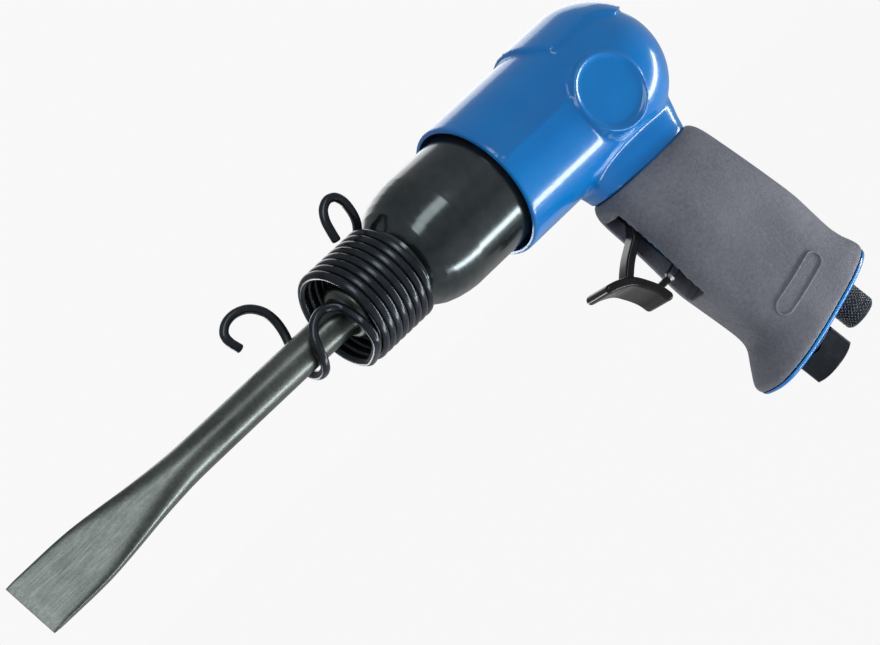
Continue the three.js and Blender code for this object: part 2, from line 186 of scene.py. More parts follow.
def section(front, rear, half_width, power, grow=0.0, sides=96):
    """A rounded section between a front and a rear point in the side view."""
    middle = ((front[0] + rear[0]) / 2, (front[1] + rear[1]) / 2)
    half = Vector(((front[0] - rear[0]) / 2, (front[1] - rear[1]) / 2))
    half = half.normalized() * (half.length + grow)
    ring = []
    for k in range(sides):
        a = 2 * math.pi * k / sides
        c, s = math.cos(a), math.sin(a)
        c = math.copysign(abs(c) ** (2 / power), c)
        s = math.copysign(abs(s) ** (2 / power), s)
        ring.append((middle[0] + half.x * c, (half_width + grow) * s, middle[1] + half.y * c))
    return ring


def smooth_values(rows, steps):
    """Rows of numbers with smooth rows added between them."""
    result = []
    last = len(rows) - 1
    for i in range(last):
        p0, p1, p2, p3 = rows[max(i - 1, 0)], rows[i], rows[i + 1], rows[min(i + 2, last)]
        for k in range(steps):
            t = k / steps
            result.append(tuple(
                0.5 * (2 * b + (c - a) * t + (2 * a - 5 * b + 4 * c - d) * t * t
                       + (3 * b - a - 3 * c + d) * t ** 3)
                for a, b, c, d in zip(p0, p1, p2, p3)))
    result.append(tuple(rows[-1]))
    return result


def column(name, rows, place, power, grow=0.0, steps=8, sides=96):
    """A column through rows (front u, front w, rear u, rear w, half width)."""
    rings = [section(r[:2], r[2:4], r[4], power, grow, sides) for r in smooth_values(rows, steps)]
    return skin(name, rings, place)


def plate(name, outline, half_width, place):
    """A side-view outline (x, z) thickened across Y."""
    rings = [[(x, y, z) for x, z in outline] for y in (-half_width, half_width)]
    return skin(name, rings, place)


def cuboid(name, low, high, place):
    xs = [(low[0], low[2]), (high[0], low[2]), (high[0], high[2]), (low[0], high[2])]
    rings = [[(x, y, z) for x, z in xs] for y in (low[1], high[1])]
    return skin(name, rings, place)


def rod(name, start, end, radius, place, sides=32):
    start, end = Vector(start), Vector(end)
    turn = (end - start).to_track_quat("Z", "Y").to_matrix()
    rings = []
    for middle in (start, end):
        rings.append([tuple(middle + turn @ Vector((radius * math.cos(2 * math.pi * k / sides),
                                                    radius * math.sin(2 * math.pi * k / sides), 0)))
                      for k in range(sides)])
    return skin(name, rings, place)


def bake(obj):
    """Applies the object's modifiers."""
    bpy.context.view_layer.update()
    evaluated = obj.evaluated_get(bpy.context.evaluated_depsgraph_get())
    mesh = bpy.data.meshes.new_from_object(evaluated)
    obj.modifiers.clear()
    obj.data = mesh


def combine(target, other, operation):
    change = target.modifiers.new("cut", "BOOLEAN")
    change.operation = operation
    change.object = other
    change.solver = "EXACT"
    bake(target)
    bpy.data.objects.remove(other)


def gather(name, objects):
    """Closed solids that overlap, as one object."""
    points, faces = [], []
    for obj in objects:
        base = len(points)
        points += [tuple(v.co) for v in obj.data.vertices]
        faces += [tuple(base + i for i in p.vertices) for p in obj.data.polygons]
        bpy.data.objects.remove(obj)
    mesh = bpy.data.meshes.new(name)
    mesh.from_pydata(points, [], faces)
    whole = bpy.data.objects.new(name, mesh)
    bpy.context.collection.objects.link(whole)
    return whole


def cast(obj, voxel, softness):
    """Joins overlapping solids into one skin with soft fillets, as a casting or a moulding has."""
    grid = obj.modifiers.new("skin", "REMESH")
    grid.mode = "VOXEL"
    grid.voxel_size = voxel * MM
    grid.adaptivity = 0.0
    ease = obj.modifiers.new("ease", "SMOOTH")
    ease.factor = 0.5
    ease.iterations = softness
    bake(obj)


def shade(obj, sharp_degrees=32):
    obj.data.polygons.foreach_set("use_smooth", [True] * len(obj.data.polygons))
    obj.data.set_sharp_from_angle(angle=math.radians(sharp_degrees))


def rounded_edges(obj, width, segments=3, angle=35):
    bevel = obj.modifiers.new("edge", "BEVEL")
    bevel.width = width * MM
    bevel.segments = segments
    bevel.limit_method = "ANGLE"
    bevel.angle_limit = math.radians(angle)
    bevel.harden_normals = False
    bake(obj)


# ---- Materials -----------------------------------------------------------------------------------
class Nodes:
    """A small builder for one node material."""

    def __init__(self, name):
        self.material = bpy.data.materials.new(name)
        self.material.use_nodes = True
        self.tree = self.material.node_tree
        self.shader = self.tree.nodes["Principled BSDF"]
        self.coords = self.tree.nodes.new("ShaderNodeTexCoord").outputs["Object"]

    def link(self, out, into):
        self.tree.links.new(out, into)

    def stretched(self, scale):
        mapping = self.tree.nodes.new("ShaderNodeMapping")
        mapping.inputs["Scale"].default_value = scale
        self.link(self.coords, mapping.inputs["Vector"])
        return mapping.outputs["Vector"]

    def noise(self, scale, detail=4.0, coords=None):
        node = self.tree.nodes.new("ShaderNodeTexNoise")
        node.inputs["Scale"].default_value = scale
        node.inputs["Detail"].default_value = detail
        self.link(coords or self.coords, node.inputs["Vector"])
        return node.outputs["Fac"]

    def cells(self, scale, feature="F1", coords=None):
        node = self.tree.nodes.new("ShaderNodeTexVoronoi")
        node.feature = feature
        node.inputs["Scale"].default_value = scale
        self.link(coords or self.coords, node.inputs["Vector"])
        return node.outputs["Distance"]

    def spread(self, value, low, high, from_low=0.3, from_high=0.7):
        node = self.tree.nodes.new("ShaderNodeMapRange")
        node.inputs["From Min"].default_value = from_low
        node.inputs["From Max"].default_value = from_high
        node.inputs["To Min"].default_value = low
        node.inputs["To Max"].default_value = high
        self.link(value, node.inputs["Value"])
        return node.outputs["Result"]

    def colours(self, value, low, high, from_low=0.3, from_high=0.7):
        ramp = self.tree.nodes.new("ShaderNodeValToRGB")
        ramp.color_ramp.elements[0].position = from_low
        ramp.color_ramp.elements[1].position = from_high
        ramp.color_ramp.elements[0].color = (*low, 1)
        ramp.color_ramp.elements[1].color = (*high, 1)
        self.link(value, ramp.inputs["Fac"])
        return ramp.outputs["Color"]

    def sum(self, a, b, share=0.5):
        node = self.tree.nodes.new("ShaderNodeMix")
        node.data_type = "FLOAT"
        node.inputs[0].default_value = share
        self.link(a, node.inputs[2])
        self.link(b, node.inputs[3])
        return node.outputs[0]

    def bump(self, height, strength, distance_mm, below=None):
        node = self.tree.nodes.new("ShaderNodeBump")
        node.inputs["Strength"].default_value = strength
        node.inputs["Distance"].default_value = distance_mm * MM
        self.link(height, node.inputs["Height"])
        if below is not None:
            self.link(below, node.inputs["Normal"])
        self.link(node.outputs["Normal"], self.shader.inputs["Normal"])
        return node.outputs["Normal"]

    def camera_only(self, brightness):
        """The camera sees a surface as pale as the backdrop. Reflections still see its plain colour."""
        glow = self.tree.nodes.new("ShaderNodeEmission")
        glow.inputs["Color"].default_value = (1.0, 1.0, 1.0, 1)
        glow.inputs["Strength"].default_value = brightness
        path = self.tree.nodes.new("ShaderNodeLightPath")
        share = self.tree.nodes.new("ShaderNodeMath")
        share.operation = "MULTIPLY"
        share.inputs[1].default_value = 0.94
        choice = self.tree.nodes.new("ShaderNodeMixShader")
        self.link(path.outputs["Is Camera Ray"], share.inputs[0])
        self.link(share.outputs[0], choice.inputs[0])
        self.link(self.shader.outputs[0], choice.inputs[1])
        self.link(glow.outputs[0], choice.inputs[2])
        self.link(choice.outputs[0], self.tree.nodes["Material Output"].inputs["Surface"])

    def base(self, colour):
        self.link(colour, self.shader.inputs["Base Color"])

    def rough(self, value):
        self.link(value, self.shader.inputs["Roughness"])

    def set(self, **values):
        for key, value in values.items():
            self.shader.inputs[key.replace("_", " ")].default_value = value


def blue_paint():
    """Gloss paint on a casting: a faint orange peel and the casting's long waves under it."""
    m = Nodes("blue_paint")
    m.base(m.colours(m.noise(60.0, 2.0), (0.0, 0.122, 0.385), (0.0, 0.142, 0.425)))
    m.rough(m.spread(m.noise(900.0, 3.0), 0.16, 0.26))
    waves = m.bump(m.noise(110.0, 1.0), 0.25, 0.25)
    m.bump(m.noise(1500.0, 2.0), 0.07, 0.02, waves)
    m.set(Metallic=0.0, Specular_IOR_Level=0.3, Coat_Weight=0.3, Coat_Roughness=0.06)
    return m.material


def grip_rubber():
    """Moulded rubber with a fine leather grain, paler where hands have rubbed it."""
    m = Nodes("grip_rubber")
    grain = m.sum(m.cells(1250.0, "DISTANCE_TO_EDGE"), m.noise(1700.0, 6.0), 0.45)
    pale = m.sum(m.noise(45.0, 3.0), m.noise(900.0, 5.0), 0.45)
    m.base(m.colours(pale, (0.064, 0.069, 0.088), (0.134, 0.142, 0.168), 0.3, 0.7))
    m.rough(m.spread(m.noise(600.0, 4.0), 0.56, 0.74))
    soft = m.bump(m.noise(160.0, 2.0), 0.2, 0.3)
    m.bump(grain, 0.8, 0.26, soft)
    m.set(Specular_IOR_Level=0.4)
    return m.material


def dark_metal(name, low, high, rough, brushed, metallic=0.9, scale=300.0):
    """Oxide-finished steel with turning marks across its axis and cloudy patches."""
    m = Nodes(name)
    clouds = m.sum(m.noise(55.0, 4.0), m.noise(scale, 5.0), 0.4)
    m.base(m.colours(clouds, low, high, 0.35, 0.65))
    lines = m.noise(1.0, 4.0, m.stretched(brushed))
    m.rough(m.spread(m.sum(lines, clouds, 0.4), rough * 0.75, rough * 1.3))
    m.bump(lines, 0.12, 0.02)
    m.set(Metallic=metallic)
    return m.material


def plain_metal(name, colour, rough):
    return dark_metal(name, tuple(c * 0.85 for c in colour), colour, rough, (2500.0, 160.0, 160.0), 1.0)


def trigger_gloss():
    """Thick black gloss with a faint peel."""
    m = Nodes("trigger_gloss")
    m.base(m.colours(m.noise(200.0, 3.0), (0.006, 0.006, 0.007), (0.010, 0.010, 0.011)))
    m.rough(m.spread(m.noise(700.0, 3.0), 0.14, 0.2))
    m.bump(m.noise(420.0, 2.0), 0.06, 0.03)
    m.set(Specular_IOR_Level=0.22)
    return m.material


def soft_black():
    m = Nodes("nitrile")
    m.base(m.colours(m.noise(800.0, 4.0), (0.012, 0.012, 0.012), (0.03, 0.03, 0.03)))
    m.bump(m.noise(2500.0, 3.0), 0.3, 0.02)
    m.set(Roughness=0.6)
    return m.material


ALONG = (120.0, 1600.0, 1600.0)
AROUND = (3200.0, 90.0, 90.0)
PAINT = blue_paint()
RUBBER = grip_rubber()
OXIDE = dark_metal("black_oxide", (0.042, 0.052, 0.055), (0.066, 0.078, 0.082), 0.17, AROUND)
SPRING = dark_metal("spring_black", (0.014, 0.018, 0.023), (0.034, 0.041, 0.050), 0.24, ALONG, 0.75)
CHISEL = dark_metal("chisel_steel", (0.066, 0.077, 0.072), (0.118, 0.134, 0.128), 0.34, ALONG, 0.95, 900.0)
KNOB = dark_metal("knob_black", (0.014, 0.018, 0.023), (0.036, 0.043, 0.053), 0.34, AROUND, 0.8)
STEEL = plain_metal("ground_steel", (0.58, 0.58, 0.60), 0.22)
BRASS = plain_metal("turned_brass", (0.66, 0.47, 0.2), 0.25)
NITRILE = soft_black()
GLOSS = trigger_gloss()


def finished(obj, material, body, nodes, sharp_degrees=32):
    """Dresses a piece, stands it in for its CAD node and lets it ride on a body."""
    obj.data.materials.clear()
    obj.data.materials.append(material)
    if obj.type == "MESH":
        shade(obj, sharp_degrees)
    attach(obj, body)
    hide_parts(*nodes)


# ---- Housing -------------------------------------------------------------------------------------
CORE_ROWS = [
    (18.6, 50.0, -18.7, 44.0, 12.3), (19.2, 20.0, -18.8, 16.0, 12.3),
    (21.0, -20.0, -19.0, -20.0, 12.3), (23.0, -38.0, -19.0, -38.0, 12.3),
]


def dome_profile(radius, depth, start):
    arc = []
    for i in range(1, 30):
        a = math.pi / 2 * i / 30
        arc.append((DOME_START - depth * math.sin(a), radius * math.cos(a)))
    return [(start, 0.01), (start, radius), (DOME_START, radius), *arc, (DOME_START - depth, 0.01)]


def make_pad():
    """The raised panel over the top and rear."""
    pad = turned("pad", dome_profile(PAD_R, 26.2, -42.0), FRONT)
    outline = [(-120.0, -19.2), (-46.0, -19.2), (-39.0, -6.0), (-39.0, 6.0), (-46.0, 19.2), (-120.0, 19.2)]
    keep = skin("keep", [[(x, y, z) for x, y in outline] for z in (13.0, 60.0)], FRONT)
    combine(pad, keep, "INTERSECT")
    return pad


def make_badge(side):
    """A round boss with a raised rim and a blank face."""
    face, rim, wall = 25.5, 26.5, 1.5
    profile = [
        (12.0, 0.01), (12.0, BADGE_R + 1.2), (25.0, BADGE_R), (rim, BADGE_R - 0.2),
        (rim, BADGE_R - wall), (face, BADGE_R - wall - 0.5), (face, 0.01),
    ]
    turn = Matrix.Rotation(math.pi / 2 * side, 4, "Z")
    at = FRONT @ Matrix.Translation((BADGE_X, 0, BADGE_Z)) @ turn
    return turned(f"badge_{side}", softened(profile, 0.35), at)


def make_housing():
    shroud = turned("shroud", dome_profile(SHROUD_R, SHROUD_R, -0.3), FRONT)
    neck = column("neck", [
        (-25.0, -9.0, -80.0, -9.0, 15.0), (-28.2, -18.0, -78.2, -18.0, 14.4),
        (-30.2, -23.0, -77.0, -23.0, 13.6),
        (-32.2, -27.0, -75.6, -27.0, 13.2), (-33.6, -30.9, -74.6, -30.9, 13.2),
    ], FRONT, 2.7)
    core = column("core", CORE_ROWS, HANDLE, 2.5, steps=2)
    ridges = []
    for side in (1, -1):
        y = 24.95 * side
        ridges.append(rod(f"ridge_{side}", (-2.0, y, 3.2), (-37.0, y, 3.2), 0.55, FRONT))
    body = gather("housing_casting", [shroud, make_pad(), neck, core, make_badge(1), make_badge(-1), *ridges])
    cast(body, 0.5, 16)
    foot = column("foot", [
        (36.0, FOOT_TOP, -25.0, FOOT_TOP, 16.6), (35.8, FOOT_TOP - 0.9, -24.8, FOOT_TOP - 0.9, 16.4),
        (35.0, FOOT_BOTTOM, -24.0, FOOT_BOTTOM, 15.6),
    ], HANDLE, 2.7, steps=3)
    combine(body, foot, "UNION")
    inner = SHROUD_R - SHROUD_WALL
    cavity = [(1.0, 0.01), (1.0, inner + 0.5), (-0.6, inner), (-22.0, inner), (-22.0, 20.0), (-44.0, 20.0),
              (-44.0, 17.9), (-70.3, 17.9), (-70.3, 13.0), (-78.0, 13.0), (-78.0, 0.01)]
    combine(body, turned("cavity", cavity, FRONT), "DIFFERENCE")
    slot = cuboid("slot", (9.5, -SLOT_HALF, SLOT_LOW), (40.0, SLOT_HALF, 42.0), HANDLE)
    combine(body, slot, "DIFFERENCE")
    pin_u = KNOB_U - 4
    holes = [
        ("bore", (30.0, 0, VALVE_W), (-15.5, 0, VALVE_W), THROTTLE_BORE_R, HANDLE),
        ("bore", (INLET_U, 0, -45.0), (INLET_U, 0, -12.5), INLET_BORE_R, HANDLE),
        ("bore", (KNOB_U, 0, -45.0), (KNOB_U, 0, -4.0), KNOB_BORE_R, HANDLE),
        ("pin_hole", (PIVOT.x, -20.0, PIVOT.z), (PIVOT.x, 20.0, PIVOT.z), 1.8, FRONT),
        ("pin_hole", (pin_u, -20.0, -27.0), (pin_u, 20.0, -27.0), 1.3, HANDLE),
    ]
    for hole in holes:
        combine(body, rod(*hole), "DIFFERENCE")
    finished(body, PAINT, "body", ["housing"], 40)


# ---- Grip sleeve ---------------------------------------------------------------------------------
SLEEVE_ROWS = [
    (20.6, 46.5, -20.4, 37.4, 13.9), (22.3, 44.6, -21.6, 35.2, 15.0), (23.4, 41.0, -22.4, 31.6, 15.8),
    (23.9, 33.5, -22.9, 25.5, 16.3),
    (24.4, 23.0, -23.6, 16.0, 16.6), (26.2, 7.0, -24.4, 3.5, 16.8), (26.0, -1.5, -24.7, -6.0, 16.8),
    (25.5, -11.5, -24.0, -14.5, 16.6), (25.4, -19.5, -23.4, -22.0, 16.6), (26.8, -24.0, -23.9, -27.0, 16.7),
    (31.2, -28.0, -24.9, -30.2, 16.9), (35.6, -32.0, -25.6, -32.6, 17.0), (36.5, -33.8, -25.7, -34.2, 17.0),
    (36.2, -35.4, -25.2, -35.4, 16.8),
]
PILL = {"u": 6.5, "w": -20.5, "half_length": 12.5, "radius": 3.0}


def make_pill():
    """A plain raised outline low on the left side, with straight sides and round ends."""
    half, r = PILL["half_length"] - PILL["radius"], PILL["radius"]
    route = []
    for centre, first in ((half, -math.pi / 2), (-half, math.pi / 2)):
        for k in range(13):
            a = first + math.pi * k / 12
            route.append((PILL["u"] + centre + r * math.cos(a), PILL["w"] + r * math.sin(a)))
        for k in range(1, 16):
            route.append((PILL["u"] + centre * (1 - k / 8), PILL["w"] + math.copysign(r, centre)))
    half_depth = 24.8
    rings = []
    for i, (u, w) in enumerate(route):
        ahead, behind = Vector(route[(i + 1) % len(route)]), Vector(route[i - 1])
        out = Vector(((ahead - behind).y, -(ahead - behind).x)).normalized()
        bulge = (1 - abs((u - 1.0) / half_depth) ** 2.6) ** (1 / 2.6)
        surface = 16.7 * bulge
        ring = []
        for k in range(8):
            a = math.pi / 4 * k
            ring.append((u + out.x * 0.5 * math.cos(a), surface + 0.5 * math.sin(a),
                         w + out.y * 0.5 * math.cos(a)))
        rings.append(ring)
    return skin("pill", rings, HANDLE, closed=True)


def make_sleeve():
    sleeve = gather("grip_rubber", [column("sleeve", SLEEVE_ROWS, HANDLE, 2.6, steps=8)])
    slot = cuboid("slot", (15.0, -SLOT_HALF, SLOT_LOW), (45.0, SLOT_HALF, 40.5), HANDLE)
    combine(sleeve, slot, "DIFFERENCE")
    cast(sleeve, 0.5, 4)
    combine(sleeve, make_pill(), "UNION")
    longer = [(r[0], r[1] + d, r[2], r[3] + d, r[4]) for r, d in zip(CORE_ROWS, (6, 0, 0, 0))]
    combine(sleeve, column("hollow", longer, HANDLE, 2.5, 0.3, steps=2), "DIFFERENCE")
    finished(sleeve, RUBBER, "body", ["grip_sleeve"], 50)


# ---- Barrel and retainer -------------------------------------------------------------------------
def make_barrel():
    shoulder = [(22.0, BARREL_R), (25.5, 21.6), (29.0, 20.9), (32.5, 19.8), (35.4, 18.2), (37.6, 16.2),
                (39.4, NOSE_R)]
    threads = []
    pitch = COIL_PITCH / 2
    x = 41.0
    while x + pitch < NOSE_END - 1.4:
        threads += [(x, NOSE_R), (x + pitch * 0.25, NOSE_R - 0.5), (x + pitch * 0.5, NOSE_R - 0.5),
                    (x + pitch * 0.75, NOSE_R)]
        x += pitch
    profile = [(-56.0, BORE_R), (-56.0, 17.6), (-20.0, 17.6), (-20.0, BARREL_R), *shoulder, *threads,
               (NOSE_END - 1.0, NOSE_R), (NOSE_END, NOSE_R - 1.0), (NOSE_END, SOCKET_R + 0.8),
               (NOSE_END - 0.8, SOCKET_R), (18.0, SOCKET_R), (18.0, BORE_R), (-56.0, BORE_R)]
    barrel = turned("barrel_black", softened(profile, 0.4, 3, closed=True), FRONT, 128, closed=True)
    finished(barrel, OXIDE, "body", ["barrel"], 25)


def retainer_route():
    """Finger loop, closed coil, then the pigtail that hooks round the chisel."""
    loop = [
        (51.9, 4.5, 19.5), (51.3, 4.7, 23.0), (50.5, 5.0, 26.4), (48.4, 5.1, 29.5), (45.2, 5.0, 30.8),
        (42.2, 4.6, 29.8), (40.6, 4.0, 27.0), (40.2, 3.2, 23.4), (40.2, 1.6, 20.0), (40.6, -0.6, 17.4),
    ]
    coil = []
    per_turn = 40
    first = math.pi / 2 + 0.18
    for i in range(int(COIL_TURNS * per_turn) + 1):
        turn = i / per_turn
        a = first + 2 * math.pi * turn
        coil.append((COIL_START + COIL_PITCH * turn, COIL_R * math.cos(a), COIL_R * math.sin(a)))
    pigtail = [
        (68.6, 11.6, -11.6), (69.0, 14.0, -5.0), (68.9, 12.2, -0.4), (69.0, 10.0, 2.8), (70.5, 8.9, 5.2),
        (73.2, 8.4, 6.5), (76.6, 8.6, 6.6), (80.0, 8.8, 5.2), (82.4, 8.8, 2.4), (83.8, 8.5, -1.2),
        (84.3, 7.1, -4.7),
        (84.4, 4.2, -7.5), (84.5, 0.6, -8.5), (84.5, -3.2, -8.0), (84.2, -6.6, -5.8), (83.3, -8.6, -1.5),
        (82.0, -8.7, 4.0), (80.6, -8.6, 9.0), (80.3, -8.5, 13.5), (81.5, -8.5, 18.0), (85.0, -8.5, 21.8),
        (90.0, -8.5, 23.5), (94.4, -8.5, 22.9), (97.0, -8.5, 20.6), (97.2, -8.5, 18.0), (96.0, -8.5, 14.2),
    ]
    return loop, coil[4:], pigtail


def centripetal(points, steps):
    """A smooth curve through unevenly spaced points."""
    points = [Vector(p) for p in points]
    points = [points[0] * 2 - points[1], *points, points[-1] * 2 - points[-2]]
    result = []
    for p0, p1, p2, p3 in zip(points, points[1:], points[2:], points[3:]):
        t0 = 0.0
        t1 = t0 + (p1 - p0).length ** 0.5
        t2 = t1 + (p2 - p1).length ** 0.5
        t3 = t2 + (p3 - p2).length ** 0.5
        count = steps if (p2 - p1).length > 3.0 else 2
        for k in range(count):
            t = t1 + (t2 - t1) * k / count
            a1 = p0.lerp(p1, (t - t0) / (t1 - t0))
            a2 = p1.lerp(p2, (t - t1) / (t2 - t1))
            a3 = p2.lerp(p3, (t - t2) / (t3 - t2))
            b1 = a1.lerp(a2, (t - t0) / (t2 - t0))
            b2 = a2.lerp(a3, (t - t1) / (t3 - t1))
            result.append(b1.lerp(b2, (t - t1) / (t2 - t1)))
    result.append(points[-2])
    return result


def make_retainer():
    loop, coil, pigtail = retainer_route()
    route = centripetal([*loop, *coil, *pigtail], 8)
    sides = 20
    rings = []
    normal = Vector((0, 1, 0))
    last = len(route) - 1
    for i, p in enumerate(route):
        along = (route[min(i + 1, last)] - route[max(i - 1, 0)]).normalized()
        normal = (normal - along * normal.dot(along)).normalized()
        other = along.cross(normal)
        ring = []
        for k in range(sides):
            a = 2 * math.pi * k / sides
            ring.append(tuple(p + (normal * math.cos(a) + other * math.sin(a)) * WIRE_R))
        rings.append((ring, along, p))
    full = []
    for end, (ring, along, p) in ((0, rings[0]), (last, rings[-1])):
        outward = -along if end == 0 else along
        cap = []
        for lift, size in ((0.75, 0.35), (0.62, 0.68), (0.36, 0.9)):
            cap.append([tuple(p + outward * lift * 0.8 + (Vector(q) - p) * size) for q in ring])
        full.append(cap)
    all_rings = [*full[0], *[r[0] for r in rings], *reversed(full[1])]
    spring = skin("retainer_wire", all_rings, FRONT)
    finished(spring, SPRING, "body", ["retainer_spring"], 60)


# ---- Chisel --------------------------------------------------------------------------------------
def make_chisel():
    roll = FRONT @ Matrix.Rotation(CHISEL_ROLL, 4, "X")
    collar = NOSE_END + 0.4
    stock = [(17.2, 0.01), (17.2, 4.1), (18.2, 5.1), (collar, 5.1), (collar, 8.8), (collar + 0.8, 9.6),
             (collar + 3.4, 9.6), (collar + 4.4, 8.6), (collar + 4.8, CHISEL_R + 0.9),
             (collar + 8.0, CHISEL_R)]
    rings = []
    sides = 96
    for x, r in softened(stock, 0.5, 3):
        rings.append((x, r, r, 2.0))
    blade = smooth_values([
        (100.0, 6.1, 6.1, 2.0), (128.0, 6.1, 6.1, 2.0), (141.0, 6.2, 5.9, 2.05), (150.0, 6.7, 5.3, 2.3),
        (160.0, 7.5, 4.5, 2.9), (172.0, 8.8, 3.5, 4.0), (182.0, 9.7, 2.75, 6.0), (190.0, 10.0, 2.3, 8.0),
        (198.0, 10.0, 2.0, 10.0), (205.5, 10.0, 1.7, 12.0),
    ], 8)
    rings += [*blade, (207.0, 10.0, 1.55, 12.0), (CHISEL_TIP, 10.0, 0.25, 12.0)]
    built = []
    for x, half_width, half_thick, power in rings:
        ring = []
        for k in range(sides):
            a = 2 * math.pi * k / sides
            c, s = math.cos(a), math.sin(a)
            ring.append((x, half_thick * math.copysign(abs(s) ** (2 / power), s),
                         half_width * math.copysign(abs(c) ** (2 / power), c)))
        built.append(ring)
    chisel = skin("chisel_steel", built, roll)
    finished(chisel, CHISEL, "chisel", ["chisel"], 30)


# ---- Trigger -------------------------------------------------------------------------------------
def strip(route, thickness, steps=6):
    """The outline of a bent strip with round ends."""
    line = [Vector(p) for p in smooth_values(route, steps)]
    half = thickness / 2
    near, far = [], []
    last = len(line) - 1
    for i, p in enumerate(line):
        t = (line[min(i + 1, last)] - line[max(i - 1, 0)]).normalized()
        side = Vector((-t.y, t.x)) * half
        near.append(p + side)
        far.append(p - side)

    def round_end(p, ahead):
        side = Vector((-ahead.y, ahead.x)) * half
        angles = [math.pi * k / 8 for k in range(1, 8)]
        return [p + side * math.cos(a) + ahead * half * math.sin(a) for a in angles]

    end = round_end(line[-1], (line[-1] - line[-2]).normalized())
    start = round_end(line[0], (line[0] - line[1]).normalized())
    return [tuple(p) for p in [*near, *end, *reversed(far), *start]]


def make_trigger():
    blade_outline = strip([
        (-10.9, -52.2), (-14.5, -53.2), (-19.2, -55.6), (-22.3, -59.3), (-24.9, -63.6), (-26.0, -67.2),
    ], 3.3)
    arm_outline = strip([
        (-20.6, -56.0), (-23.4, -53.4), (-27.6, -50.3), (-34.1, -46.6), (-37.4, -43.6), (PIVOT.x, PIVOT.z),
    ], 3.0)
    spur_outline = [(-23.0, -60.4), (-25.4, -61.8), (-28.6, -62.8), (-34.1, -63.0), (-34.1, -65.2),
                    (-28.6, -65.2), (-26.2, -64.6), (-24.6, -64.4)]
    blade = plate("blade", blade_outline, 8.0, FRONT)
    rounded_edges(blade, 1.1, 4, 50)
    arm = plate("arm", arm_outline, 3.2, FRONT)
    rounded_edges(arm, 0.7, 3, 50)
    spur = plate("spur", spur_outline, 2.0, FRONT)
    rounded_edges(spur, 0.6, 3, 50)
    boss = rod("boss", (PIVOT.x, -4.2, PIVOT.z), (PIVOT.x, 4.2, PIVOT.z), 3.2, FRONT)
    trigger = gather("trigger_black", [blade, arm, spur, boss])
    cast(trigger, 0.22, 6)
    hole = rod("hole", (PIVOT.x, -9.0, PIVOT.z), (PIVOT.x, 9.0, PIVOT.z), 1.75, FRONT)
    combine(trigger, hole, "DIFFERENCE")
    finished(trigger, GLOSS, "trigger", ["trigger"], 50)


# ---- Inlet and regulator under the foot ----------------------------------------------------------
def polar(name, levels, radius_at, sides, at):
    """A solid up the handle's own Z whose radius depends on the angle and the height."""
    rings = []
    for z in levels:
        ring = []
        for k in range(sides):
            a = 2 * math.pi * k / sides
            r = radius_at(a, z)
            ring.append((at + r * math.cos(a), r * math.sin(a), z))
        rings.append(ring)
    return skin(name, rings, HANDLE)


def make_inlet():
    low, high = INLET_END, FOOT_BOTTOM - 2.5
    corner = HEX_FLATS / math.sqrt(3)

    def hex_radius(a, z):
        turn = (a - math.pi / 2 + math.pi / 6) % (math.pi / 3) - math.pi / 6
        flat = HEX_FLATS / 2 / math.cos(turn)
        chamfer = corner - 1.35 + min(z - low, high - z) * 1.9
        return min(flat, chamfer, corner - 0.25)

    steps = (0.15, 0.3, 0.45, 0.6, 0.75, 1.0)
    levels = [low, *(low + step for step in steps), *(high - step for step in reversed(steps)), high]
    hexagon = polar("inlet_hex", levels, hex_radius, 180, INLET_U)
    shank = turned("shank", softened([(-41.5, 0.01), (-41.5, 6.9), (-23.0, 6.9), (-23.0, 0.01)], 0.4), HANDLE,
                   along="Z", at=(INLET_U, 0.0))
    combine(hexagon, shank, "UNION")
    bore = [(-60.0, 0.01), (-60.0, 7.4), (low, 6.7), (low + 0.9, 5.9)]
    z = low + 1.4
    while z < -36.0:
        bore += [(z, 5.9), (z + 0.45, 6.25), (z + 0.9, 5.9)]
        z += 1.34
    bore += [(-10.0, 5.9), (-10.0, 0.01)]
    combine(hexagon, turned("bore", bore, HANDLE, along="Z", at=(INLET_U, 0.0)), "DIFFERENCE")
    finished(hexagon, KNOB, "body", ["inlet_bushing"], 20)
    top = FOOT_BOTTOM - 0.3
    below = top - 1.9
    washer = softened([(below, 7.2), (below, 10.0), (top, 10.0), (top, 7.2), (below, 7.2)], 0.4, 4, True)
    ring = turned("inlet_collar", washer, HANDLE, 96, closed=True, along="Z", at=(INLET_U, 0.0))
    finished(ring, KNOB, "body", ["inlet_washer"], 30)


def make_knob():
    low, high = KNOB_END, FOOT_BOTTOM - 0.3
    rows = 44
    starts = 26
    depth = 0.34

    def knurled(a, z):
        edge = min(z - low, high - z)
        body = KNOB_R - max(0.0, 0.9 - edge) * 0.9
        lean = z / KNOB_R
        ridge_a = abs(math.sin(starts / 2 * (a + lean)))
        ridge_b = abs(math.sin(starts / 2 * (a - lean)))
        fade = min(1.0, max(0.0, edge - 0.7) / 0.5)
        return body - depth * fade * (1 - min(ridge_a, ridge_b) ** 0.7)

    levels = [low + (high - low) * i / rows for i in range(rows + 1)]
    knob = polar("regulator_knurled", levels, knurled, 208, KNOB_U)
    combine(knob, rod("socket", (KNOB_U, 0, high + 1), (KNOB_U, 0, -46.0), 2.4, HANDLE), "DIFFERENCE")
    finished(knob, KNOB, "regulator", ["regulator_knob"], 30)


def make_throttle_spring():
    """The throttle spring keeps its CAD shape, finished in ground steel and riding on the body."""
    node = frame["nodes"]["throttle_spring"]
    mesh = node.data.copy()
    mesh.transform(node.matrix_world)
    coil = bpy.data.objects.new("throttle_coil", mesh)
    bpy.context.collection.objects.link(coil)
    finished(coil, STEEL, "body", ["throttle_spring"])
    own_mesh(coil)


make_housing()
make_sleeve()
make_barrel()
make_retainer()
make_chisel()
make_trigger()
make_inlet()
make_knob()
make_throttle_spring()

